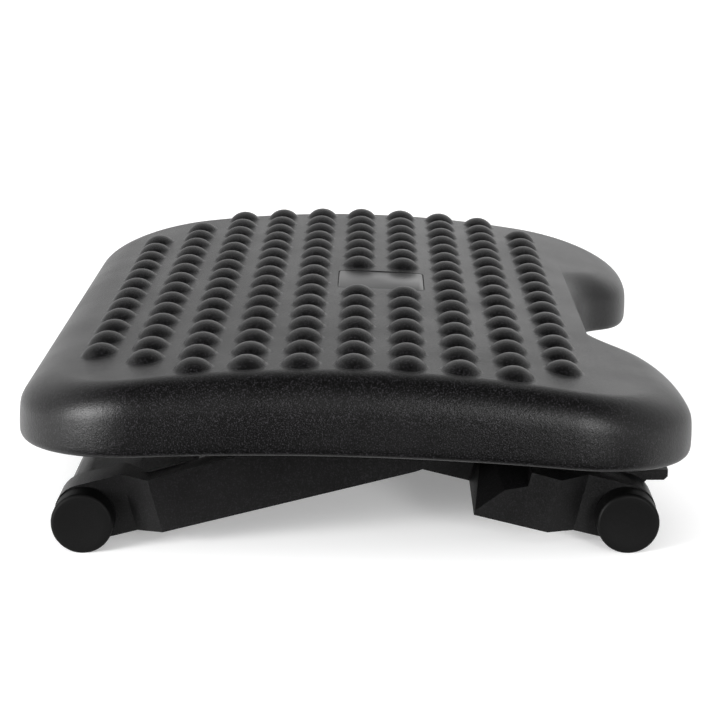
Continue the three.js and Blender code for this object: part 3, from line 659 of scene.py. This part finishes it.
def sum_of(tree, operation, *values):
    """One step of arithmetic in a tree."""
    node = tree.nodes.new("ShaderNodeMath")
    node.operation = operation
    for slot, value in zip(node.inputs, values):
        if isinstance(value, bpy.types.NodeSocket):
            tree.links.new(value, slot)
        else:
            slot.default_value = value
    return node.outputs[0]


def stored(tree, name):
    """A number that each point carries."""
    node = tree.nodes.new("GeometryNodeInputNamedAttribute")
    node.data_type = "FLOAT"
    node.inputs["Name"].default_value = name
    return node.outputs["Attribute"]


# %% [markdown]
# Now a rule gives every point its height. The top and the rim's foot are both circles seen from
# the end, and each point lies its own share of the way between them. The heights could be worked
# out in Python, but in a tree the sizes are inputs, so the crown can be made flatter or rounder
# without touching the rings.

# %% The crown, as a rule
rise = 51 * mm
rim_height = 41.3 * mm
top_radius = 778 * mm
foot_radius = 1640 * mm


def fall(tree, radius, across):
    """How far a circle has dropped at a distance from its highest point."""
    radius_square = sum_of(tree, "POWER", radius, 2.0)
    across_square = sum_of(tree, "POWER", across, 2.0)
    root = sum_of(tree, "SQRT", sum_of(tree, "SUBTRACT", radius_square, across_square))
    return sum_of(tree, "SUBTRACT", radius, root)


def crown_tree():
    """Lifts the flat rings to the crowned top, the shoulder, the side and the lower edge."""
    tree = new_tree("crown", ("Rise", "Rim height", "Top radius", "Foot radius"))
    given = tree.nodes.new("NodeGroupInput").outputs
    where = tree.nodes.new("ShaderNodeSeparateXYZ")
    tree.links.new(tree.nodes.new("GeometryNodeInputPosition").outputs[0], where.inputs[0])
    across = where.outputs["Y"]
    top = sum_of(tree, "SUBTRACT", given["Rise"], fall(tree, given["Top radius"], across))
    foot_middle = sum_of(tree, "SUBTRACT", given["Rise"], given["Rim height"])
    foot = sum_of(tree, "SUBTRACT", foot_middle, fall(tree, given["Foot radius"], across))
    down = sum_of(tree, "MULTIPLY", stored(tree, "share"), sum_of(tree, "SUBTRACT", top, foot))
    height = sum_of(tree, "ADD", sum_of(tree, "SUBTRACT", top, down), stored(tree, "stand"))
    place = tree.nodes.new("ShaderNodeCombineXYZ")
    for axis, value in (("X", where.outputs["X"]), ("Y", across), ("Z", height)):
        tree.links.new(value, place.inputs[axis])
    moved = tree.nodes.new("GeometryNodeSetPosition")
    tree.links.new(given["Geometry"], moved.inputs["Geometry"])
    tree.links.new(place.outputs[0], moved.inputs["Position"])
    painted_end(tree, moved.outputs[0], given["Finish"])
    return tree


crown_sizes = {
    "Rise": rise,
    "Rim height": rim_height,
    "Top radius": top_radius,
    "Foot radius": foot_radius,
    "Finish": top_plastic,
}
use_tree(platform, crown_tree(), crown_sizes)
heights = [vertex.co.z for vertex in platform.data.vertices]
print("platform from", round(min(heights) / mm, 1), "to", round(max(heights) / mm, 1), "mm above the axle")

# %% [markdown]
# So far the platform is level, and zero is the axle's line. On the real footrest the axle lies
# above the floor, and the platform leans on it by a small angle even at rest. Each mesh could be
# drawn in its final place, but then every sum would have to lean too. So all pieces of the platform
# are drawn level, and one matrix moves each of them when it is finished.

# %% Where the platform stands
axle_height = 51 * mm
axle_low, axle_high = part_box("pivot_axle")
axle_place = Vector((0, (axle_low.y + axle_high.y) / 2, axle_height))
rest_tilt_deg = 1.7
platform_turn = Matrix.Translation(axle_place) @ Matrix.Rotation(math.radians(rest_tilt_deg), 4, "X")
print("axle", round(axle_place.z / mm), "mm up, platform leaning by", rest_tilt_deg, "degrees")

# %% [markdown]
# The name plate is a thin slab with rounded corners, and so is the pocket that it lies in. A cube
# with a Bevel would do, but it would round the corners and the top's edge alike. Four levels of one
# outline keep the two apart: large corners, and a chamfer so small that it only catches the light.

# %% A rounded slab
def slab(name, length, width, radius, low, high, edge=0.0, steps=10):
    """A rounded rectangle as a slab, with an optional small chamfer round its top."""
    spokes = []
    for corner, (sign_x, sign_y) in enumerate(((1, 1), (-1, 1), (-1, -1), (1, -1))):
        centre = (sign_x * (length / 2 - radius), sign_y * (width / 2 - radius))
        for step in range(steps + 1):
            angle = math.pi / 2 * (corner + step / steps)
            spokes.append((*centre, math.cos(angle), math.sin(angle)))
    levels = [(low, 0.0), (high - edge, 0.0), (high - 0.3 * edge, 0.3 * edge), (high, edge)]
    points = [
        (x + (radius - inset) * cosine, y + (radius - inset) * sine, z)
        for z, inset in levels
        for x, y, cosine, sine in spokes
    ]
    count = len(spokes)
    ends = [tuple(reversed(range(count))), tuple(range(3 * count, 4 * count))]
    return mesh_from(name, points, ends + ring_walls(len(levels), count))


# %% [markdown]
# Round the plate runs a hairline gap that reads as a thin black line. Painting the line would be
# quicker, but it would look painted from close by. So the pocket is cut into the shell with a
# Boolean, a little larger than the plate that drops into it. The plate is flat and the top is
# curved, so the plate lies as deep as the curve falls over half its width.

# %% The platform's pocket
plate_length = 48 * mm
plate_width = 50 * mm
plate_corner = 4 * mm
plate_thick = 1.5 * mm
plate_chamfer = 0.35 * mm
plate_y = -12.05 * mm
plate_gap = 0.45 * mm
pocket_depth = 2 * mm
above_top = 6 * mm


def drop(radius, across):
    """How far a circle has dropped at a distance from its highest point, as a number."""
    return radius - math.sqrt(radius ** 2 - across ** 2)


def top_height(across):
    """The crown's height above the axle's line."""
    return rise - drop(top_radius, across)


def cut_by(piece, cutter, operation="DIFFERENCE", own_overlaps=False):
    """Applies a Boolean between two pieces and takes the second one away."""
    boolean = piece.modifiers.new("cut", "BOOLEAN")
    boolean.object = cutter
    boolean.operation = operation
    boolean.solver = "EXACT"
    boolean.use_self = own_overlaps
    apply_modifiers(piece)
    bpy.data.objects.remove(cutter)


plate_level = top_height(plate_y) - drop(top_radius, plate_width / 2)
plate_lean = Matrix.Rotation(math.asin(-plate_y / top_radius), 4, "X")
plate_turn = Matrix.Translation((0, plate_y, plate_level)) @ plate_lean

pocket_sizes = [size + 2 * plate_gap for size in (plate_length, plate_width)]
pocket_mesh = slab("pocket", *pocket_sizes, plate_corner + plate_gap, -pocket_depth, above_top)
pocket = add_object("pocket", pocket_mesh, top_plastic)
pocket.data.transform(plate_turn)
cut_by(platform, pocket)
shade(platform.data, 40)
platform.data.transform(platform_turn)
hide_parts("platform_shell")
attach(platform, "platform")
print("platform:", len(platform.data.polygons), "faces with its pocket")

# %% [markdown]
# The plate is a moulding of its own, a little smoother than the top round it. It could be a patch
# of another material on the top, but then its edge would have no thickness.

# %% The bare name plate
plate_mesh = slab("bare_plate", plate_length, plate_width, plate_corner, -plate_thick, 0, plate_chamfer)
plate = add_object("bare_plate", plate_mesh, plate_plastic, sharp_deg=50)
plate.data.transform(platform_turn @ plate_turn)
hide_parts("name_plate")
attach(plate, "platform")
print("plate:", round(plate_length / mm), "by", round(plate_width / mm), "mm")

# %% [markdown]
# The bumps are what the feet feel. They stand on a square grid, fewer at the rounded corners and
# none where the plate lies. They could be placed one by one, but they are a pattern, so a loop
# finds their places.

# %% Places of the bumps
pitch = 26.75 * mm
columns = 10
rows = 16
grid_shift = 14.7 * mm
rows_left_out = {1: 2, 2: 1, columns: 1}
plate_columns = (6, 7)
plate_rows = (8, 9)


def bump_places():
    """Places of the bumps. Some columns are shorter at both ends."""
    places = []
    for column in range(1, columns + 1):
        skipped = rows_left_out.get(column, 0)
        y = grid_shift + ((columns + 1) / 2 - column) * pitch
        for row in range(1 + skipped, rows + 1 - skipped):
            if column in plate_columns and row in plate_rows:
                continue
            places.append((((rows + 1) / 2 - row) * pitch, y))
    return places


places = bump_places()
print("bumps on the platform:", len(places))

# %% [markdown]
# All the bumps are alike. One dome is spun from a profile: a ball cap with a small hollow curve at
# its foot, as the mould has. A half ball would be simpler, but it would meet the top in a sharp
# crease, and the soft dark ring round each bump would be lost.

# %% One bump
bump_radius = 9.2 * mm
bump_height = 5.5 * mm
bump_sides = 20
ball_foot_share = 1.1
ball_shares = (0.0, 0.2, 0.4, 0.58, 0.74, 0.88, 1.0)
foot_shares = [(1.07, 0.055), (1.12, 0.018), (1.17, 0.0), (1.21, -0.02), (1.23, -0.3)]


def dome_profile():
    """Distance out and height of one bump, as shares of its radius and height."""
    foot = ball_foot_share * bump_radius
    ball = (foot ** 2 + bump_height ** 2) / (2 * bump_height)
    profile = []
    for share in ball_shares:
        profile.append((share, 1 - drop(ball, share * bump_radius) / bump_height))
    return profile + foot_shares


def unit_dome():
    """One bump of radius 1 and height 1, open below."""
    profile = dome_profile()
    points = [(0, 0, profile[0][1])]
    for share, height in profile[1:]:
        points += circle(share, height, bump_sides)
    faces = [(0, 1 + i, 1 + (i + 1) % bump_sides) for i in range(bump_sides)]
    faces += ring_walls(len(profile) - 1, bump_sides, first=1)
    mesh = bpy.data.meshes.new("unit_dome")
    mesh.from_pydata(points, [], faces)
    mesh.shade_smooth()
    return bpy.data.objects.new("unit_dome", mesh)


dome = unit_dome()
print("faces in one bump:", len(dome.data.polygons))

# %% [markdown]
# A tree then puts a copy of the dome on every point of the field. The points carry the lean of the
# crown, so each dome stands square to the surface that it grows out of. The copies are made real
# at the end of the tree, because only real faces can leave Blender in a file.

# %% The field of bumps
def copies_tree(name):
    """Puts a scaled copy of a pattern piece on every point, turned by the point's lean about X."""
    tree = new_tree(name, ("Wide", "Tall"), objects=("Pattern",))
    given = tree.nodes.new("NodeGroupInput").outputs
    pattern = tree.nodes.new("GeometryNodeObjectInfo")
    tree.links.new(given["Pattern"], pattern.inputs["Object"])
    turn = tree.nodes.new("ShaderNodeCombineXYZ")
    tree.links.new(stored(tree, "lean"), turn.inputs["X"])
    size = tree.nodes.new("ShaderNodeCombineXYZ")
    for axis, label in (("X", "Wide"), ("Y", "Wide"), ("Z", "Tall")):
        tree.links.new(given[label], size.inputs[axis])
    placed = tree.nodes.new("GeometryNodeInstanceOnPoints")
    tree.links.new(given["Geometry"], placed.inputs["Points"])
    tree.links.new(pattern.outputs["Geometry"], placed.inputs["Instance"])
    tree.links.new(turn.outputs[0], placed.inputs["Rotation"])
    tree.links.new(size.outputs[0], placed.inputs["Scale"])
    real = tree.nodes.new("GeometryNodeRealizeInstances")
    tree.links.new(placed.outputs[0], real.inputs[0])
    painted_end(tree, real.outputs[0], given["Finish"])
    return tree


def copies(name, places, leans, pattern, material, wide=1.0, tall=1.0, sharp_deg=32):
    """One piece made of many copies of a pattern piece."""
    points = bpy.data.meshes.new(name)
    points.from_pydata(places, [], [])
    points.attributes.new("lean", "FLOAT", "POINT").data.foreach_set("value", leans)
    piece = bpy.data.objects.new(name, points)
    scene.collection.objects.link(piece)
    values = {"Wide": wide, "Tall": tall, "Pattern": pattern, "Finish": material}
    use_tree(piece, copies_tree(name), values)
    shade(piece.data, sharp_deg)
    print(name, "has", len(places), "copies and", len(piece.data.polygons), "faces")
    return piece


bump_points = [(x, y, top_height(y)) for x, y in places]
bump_leans = [-math.asin(y / top_radius) for x, y in places]
bumps = copies("bumps", bump_points, bump_leans, dome, top_plastic, bump_radius, bump_height, sharp_deg=60)
bumps.data.transform(platform_turn)
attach(bumps, "platform")

# %% [markdown]
# Turned over, the platform shows a grid of ribs. They stiffen a wall that is only a few
# millimetres thick. Each rib could be shaped to the shell all round, but it is easier to cross long
# strips, longer than they need to be, and to trim them all at once afterwards.

# %% Strips for the ribs
rib_depth = 9 * mm
rib_thick = 2.2 * mm
rib_places_x = [x * mm for x in (-206, -100, 0, 100, 206)]
rib_places_y = [y * mm for y in (-100, -55, 55, 100)]


def strip_along_y(x, steps=28):
    """A rib from front to back whose lower edge follows the crown."""
    ys = np.linspace(half_width, -half_width, steps + 1)
    points, faces = [], []
    for side in (-1, 1):
        face_x = x + side * rib_thick / 2
        for y in ys:
            high = top_height(y) - wall / 2
            points += [(face_x, y, high), (face_x, y, high - wall / 2 - rib_depth)]
    n = 2 * (steps + 1)
    for i in range(steps):
        a = 2 * i
        faces += [(a, a + 2, a + 3, a + 1), (n + a, n + a + 1, n + a + 3, n + a + 2)]
        faces += [(a, n + a, n + a + 2, a + 2), (a + 1, a + 3, n + a + 3, n + a + 1)]
    faces += [(0, 1, n + 1, n), (n - 2, 2 * n - 2, 2 * n - 1, n - 1)]
    return mesh_from("rib", points, faces)


def strip_along_x(y):
    """A rib along the platform."""
    high = top_height(y) - wall / 2
    low = high - wall / 2 - rib_depth
    section = [(-half_length, low), (half_length, low), (half_length, high), (-half_length, high)]
    corners = [(x, y + side * rib_thick / 2, z) for side in (-1, 1) for x, z in section]
    faces = [(0, 1, 2, 3), (7, 6, 5, 4), (0, 4, 5, 1), (1, 5, 6, 2), (2, 6, 7, 3), (3, 7, 4, 0)]
    return mesh_from("rib", corners, faces)


rib_meshes = [strip_along_y(x) for x in rib_places_x] + [strip_along_x(y) for y in rib_places_y]
print("strips for ribs:", len(rib_meshes))

# %% [markdown]
# The strips are trimmed by a Boolean that keeps only what lies inside the shell. Its cutter is a
# solid made of the shell's own rings, half way into the wall. So each rib ends inside the wall
# that it joins, and none shows outside.

# %% Ribs
def inside_of_shell():
    """A solid that fills the shell to the middle of its wall."""
    skin = wall / 2
    levels = [shoulder_ring(turn, skin) for turn in np.linspace(0, 1, inner_steps)] + [(1.0, 0.0, skin)]
    points = []
    for share, stand, distance in levels:
        for x, y in inset_outline(distance):
            top = top_height(y)
            foot = rise - rim_height - drop(foot_radius, y)
            points.append((x, y, top - share * (top - foot) + stand))
    return mesh_from("inside", points, with_lids(len(levels)))


def joined(meshes, name):
    """Several meshes as one."""
    work = bmesh.new()
    for mesh in meshes:
        work.from_mesh(mesh)
    result = bpy.data.meshes.new(name)
    work.to_mesh(result)
    work.free()
    return result


ribs = add_object("platform_ribs", joined(rib_meshes, "platform_ribs"), top_plastic)
cut_by(ribs, add_object("inside", inside_of_shell(), top_plastic), "INTERSECT", own_overlaps=True)
shade(ribs.data, 32)
ribs.data.transform(platform_turn)
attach(ribs, "platform")
print("ribs:", len(ribs.data.polygons), "faces")

# %% [markdown]
# Each bracket hangs on four screws, so eight posts stand inside the shell where the screws go in.
# A post is a short tube, a little wider at its root as the mould's draft makes it. A tree like that
# of the bumps places them, and a bracket's own box gives their places along the axle.

# %% Posts for the bracket screws
screw_step_x = 14 * mm
screw_step_y = 26 * mm
bracket_low, bracket_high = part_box("hinge_bracket_right")
barrel_middle = (bracket_low.x + bracket_high.x) / 2
screw_places = [
    (side * barrel_middle + dx * screw_step_x, dy * screw_step_y)
    for side in (-1, 1)
    for dx in (-1, 1)
    for dy in (-1, 1)
]
post_foot = 39.3 * mm
post_length = top_height(screw_step_y) - wall / 2 - post_foot
post_hole = 2.3 * mm
post_rim = 4.6 * mm
post_radius = 5 * mm
post_root = 5.2 * mm
post_chamfer = 0.4 * mm
post_sides = 32
post_profile = [
    (0, post_hole), (0, post_rim), (post_chamfer, post_radius),
    (post_length, post_root), (post_length, post_hole),
]
post = spun("post", post_profile, post_sides)
post.transform(Matrix.Rotation(-math.pi / 2, 4, "Y"))
post_pattern = bpy.data.objects.new("post_pattern", post)
post_points = [(x, y, post_foot) for x, y in screw_places]
posts = copies("screw_posts", post_points, [0.0] * len(post_points), post_pattern, top_plastic)
posts.data.transform(platform_turn)
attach(posts, "platform")

# %% [markdown]
# The brackets, the leg frames and the pawls are already exact in the model, down to their pockets
# and webs. They could be drawn again, but they only lack the rounded edges of a moulding, so each
# one is copied and rounded.

# %% Brackets, leg frames and pawls
bracket_edge = 0.5 * mm
leg_edge = 1.4 * mm
pawl_edge = 0.15 * mm

for side in ("left", "right"):
    bracket = rounded_copy(f"hinge_bracket_{side}", f"bracket_{side}", bracket_plastic, bracket_edge)
    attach(bracket, "platform")

for leg, side in (("back", "left"), ("front", "right")):
    moulding = rounded_copy(f"{leg}_leg_frame", f"{leg}_leg_moulding", leg_plastic, leg_edge, sharp_deg=20)
    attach(moulding, f"{leg}_leg")
    spring = rounded_copy(f"pawl_{side}", f"spring_{side}", spring_steel, pawl_edge)
    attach(spring, f"{leg}_leg")

# %% [markdown]
# Two of the four rubber caps face the camera, so all are spun again with many sides. A real cap
# has a soft rounded edge, a slightly hollow face, and a small flat where it stands. The flat is
# made by pressing every point that would sink into the floor up to it.

# %% Rubber caps
cap_sides = 96
cap_inner = 181 * mm
cap_outer = 194 * mm
cap_radius = 16 * mm
cap_bore = 14.3 * mm
cap_chamfer = 0.3 * mm
cap_edge = 1.9 * mm
face_thick = 3.4 * mm
face_dish = 0.25 * mm
dish_radius = 9.5 * mm
flat_radius = 11 * mm
flat_dip = 0.02 * mm
centre_hole = 0.001 * mm


def cap_profile():
    """From the open end, over the outside, round the edge and back inside."""
    profile = [(cap_inner, cap_bore), (cap_inner, cap_radius - cap_chamfer)]
    profile.append((cap_inner + cap_chamfer, cap_radius))
    for angle in np.radians(np.linspace(0, 90, 7)):
        along = cap_outer - cap_edge + cap_edge * math.sin(angle)
        profile.append((along, cap_radius - cap_edge + cap_edge * math.cos(angle)))
    dish = cap_outer - face_dish
    profile += [(cap_outer - flat_dip, flat_radius), (dish, dish_radius), (dish, centre_hole)]
    return profile + [(cap_outer - face_thick, centre_hole), (cap_outer - face_thick, cap_bore)]


def rubber_cap(name, node, leg, sign):
    """One cap, centred on its node."""
    low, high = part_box(node)
    mesh = spun(name, [(sign * along, radius) for along, radius in cap_profile()], cap_sides)
    mesh.transform(Matrix.Translation((0, (low.y + high.y) / 2, (low.z + high.z) / 2)))
    for vertex in mesh.vertices:
        vertex.co.z = max(vertex.co.z, 0)
    cap = add_object(name, mesh, cap_rubber, sharp_deg=40)
    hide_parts(node)
    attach(cap, leg)
    print(name, "stands", round(high.z / mm, 1), "mm high")
    return cap


for leg in ("back", "front"):
    for side, sign in (("left", -1), ("right", 1)):
        rubber_cap(f"{leg}_cap_{side}", f"{leg}_foot_cap_{side}", f"{leg}_leg", sign)

# %% [markdown]
# On the axle sit two of everything, mirrored: a toothed hub, a friction washer either side of the
# bracket, a sleeve, a thrust washer and a clip. The washers and sleeves are plain rings, so one
# profile is spun for them, and the model's own boxes say how long each is.

# %% One washer or sleeve
ring_sides = 48
ring_bore = 6.3 * mm
washer_radius = 11 * mm
sleeve_radius = 9 * mm
ring_chamfer = 0.3 * mm
ring_kinds = {
    "outer_friction_washer": washer_radius,
    "inner_friction_washer": washer_radius,
    "thrust_washer": washer_radius,
    "spacer_sleeve": sleeve_radius,
}


def white_ring(name, node, radius):
    """A washer or sleeve as long as its node, with small chamfers."""
    low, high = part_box(node)
    slope = radius - ring_chamfer
    profile = [
        (low.x, ring_bore), (low.x, slope), (low.x + ring_chamfer, radius),
        (high.x - ring_chamfer, radius), (high.x, slope), (high.x, ring_bore),
    ]
    mesh = spun(name, profile, ring_sides)
    mesh.transform(Matrix.Translation(axle_place))
    piece = add_object(name, mesh, washer_white)
    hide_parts(node)
    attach(piece, "axle")
    print(name, "is", round((high.x - low.x) / mm, 1), "mm long")
    return piece


# %% [markdown]
# The hubs have teeth and the clips a slot, which no spun profile has. The model holds both shapes,
# so they are copied and rounded, and so is the axle. One loop makes the left set, then the right.

# %% The axle and everything on it
clip_edge = 0.12 * mm
hub_edge = 0.2 * mm
axle_edge = 0.25 * mm

for side in ("left", "right"):
    for kind, radius in ring_kinds.items():
        white_ring(f"white_{kind}_{side}", f"{kind}_{side}", radius)
    clip = rounded_copy(f"retaining_ring_{side}", f"clip_{side}", spring_steel, clip_edge)
    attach(clip, "axle")
    hub = rounded_copy(f"ratchet_hub_{side}", f"hub_{side}", zinc_steel, hub_edge)
    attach(hub, "axle")

axle = rounded_copy("pivot_axle", "axle_rod", drawn_steel, axle_edge)
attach(axle, "axle")

# %% [markdown]
# The screws are small but they face up at anyone who turns the footrest over. Each has a domed
# head with a cross recess and a plain shank, because a thread hidden in its post would never be
# seen. The recess is cut by two crossed slabs, and a tree like that of the bumps places the screws.

# %% One screw
screw_sides = 24
arm_long_share = 1.15
arm_wide_share = 0.24
arm_round_share = 0.05


def screw_pattern(name, head_radius, head_height, shank_radius, length):
    """A screw whose head points down from 0 and whose shank points up."""
    levels = [
        (-head_height, 0.0), (-head_height, 0.32 * head_radius), (-0.86 * head_height, 0.7 * head_radius),
        (-0.45 * head_height, 0.96 * head_radius), (0, head_radius), (0, shank_radius),
        (0.8 * length, shank_radius), (length, 0.35 * shank_radius), (length, 0.0),
    ]
    points = [(0, 0, levels[0][0])]
    for z, radius in levels[1:-1]:
        points += circle(radius, z, screw_sides)
    points.append((0, 0, levels[-1][0]))
    end = len(points) - 1
    last = end - screw_sides
    faces = [(0, 1 + (i + 1) % screw_sides, 1 + i) for i in range(screw_sides)]
    faces += ring_walls(len(levels) - 2, screw_sides, first=1)
    faces += [(end, last + i, last + (i + 1) % screw_sides) for i in range(screw_sides)]
    pattern = add_object(name, mesh_from(name, points, faces), zinc_steel)
    arm_sizes = [share * head_radius for share in (arm_long_share, arm_wide_share, arm_round_share)]
    for turn in (0, math.pi / 2):
        arm = slab("arm", *arm_sizes, -1.4 * head_height, -0.45 * head_height, steps=2)
        arm.transform(Matrix.Rotation(turn, 4, "Z"))
        cut_by(pattern, add_object("cutter", arm, zinc_steel))
    scene.collection.objects.unlink(pattern)
    print(name, "has", len(pattern.data.polygons), "faces")
    return pattern


screw_length = 10.3 * mm
bracket_screw = screw_pattern(
    "bracket_screw", head_radius=3.8 * mm, head_height=2.4 * mm, shank_radius=2 * mm, length=screw_length
)
pawl_screw = screw_pattern(
    "pawl_screw", head_radius=2.8 * mm, head_height=1.8 * mm, shank_radius=1.5 * mm, length=screw_length
)

# %% [markdown]
# The eight bracket screws are one screw at eight points, heads down under the brackets. They are
# drawn level with the platform and go through its matrix like everything else on it.

# %% Screws of the brackets
head_level = 34.7 * mm
screw_points = [(x, y, head_level) for x, y in screw_places]
upright = [0.0] * len(screw_points)
bracket_screws = copies("bracket_screws", screw_points, upright, bracket_screw, zinc_steel)
bracket_screws.data.transform(platform_turn)
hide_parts(*[f"bracket_screw_{side}_{i}" for side in ("left", "right") for i in range(1, 5)])
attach(bracket_screws, "platform")

# %% [markdown]
# One screw clamps each pawl to its leg. The front leg is the back one turned half round, so the
# same point serves for both, leaned with its leg and then turned.

# %% Screws of the two pawls
leg_lean_deg = 14.11688
pawl_screw_point = (-168.4 * mm, 40 * mm, 17 * mm)
for leg, side, turn in (("back", "left", 0), ("front", "right", math.pi)):
    screw = copies(f"spring_screw_{side}", [pawl_screw_point], [math.pi], pawl_screw, zinc_steel)
    leg_turn = Matrix.Rotation(turn, 4, "Z") @ Matrix.Rotation(-math.radians(leg_lean_deg), 4, "X")
    screw.data.transform(Matrix.Translation(axle_place) @ leg_turn)
    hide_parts(f"pawl_screw_{side}")
    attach(screw, f"{leg}_leg")

# %% [markdown]
# Last, the dressed footrest is measured against the engineering model. The two boxes should
# match to a fraction of a millimetre, because nothing was added that changes its outside.

# %% Compare the two boxes and finish
dressed_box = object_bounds()
for label, box in (("model", model_box), ("dressed", dressed_box)):
    print(label, [[round(value / mm, 1) for value in corner] for corner in box])
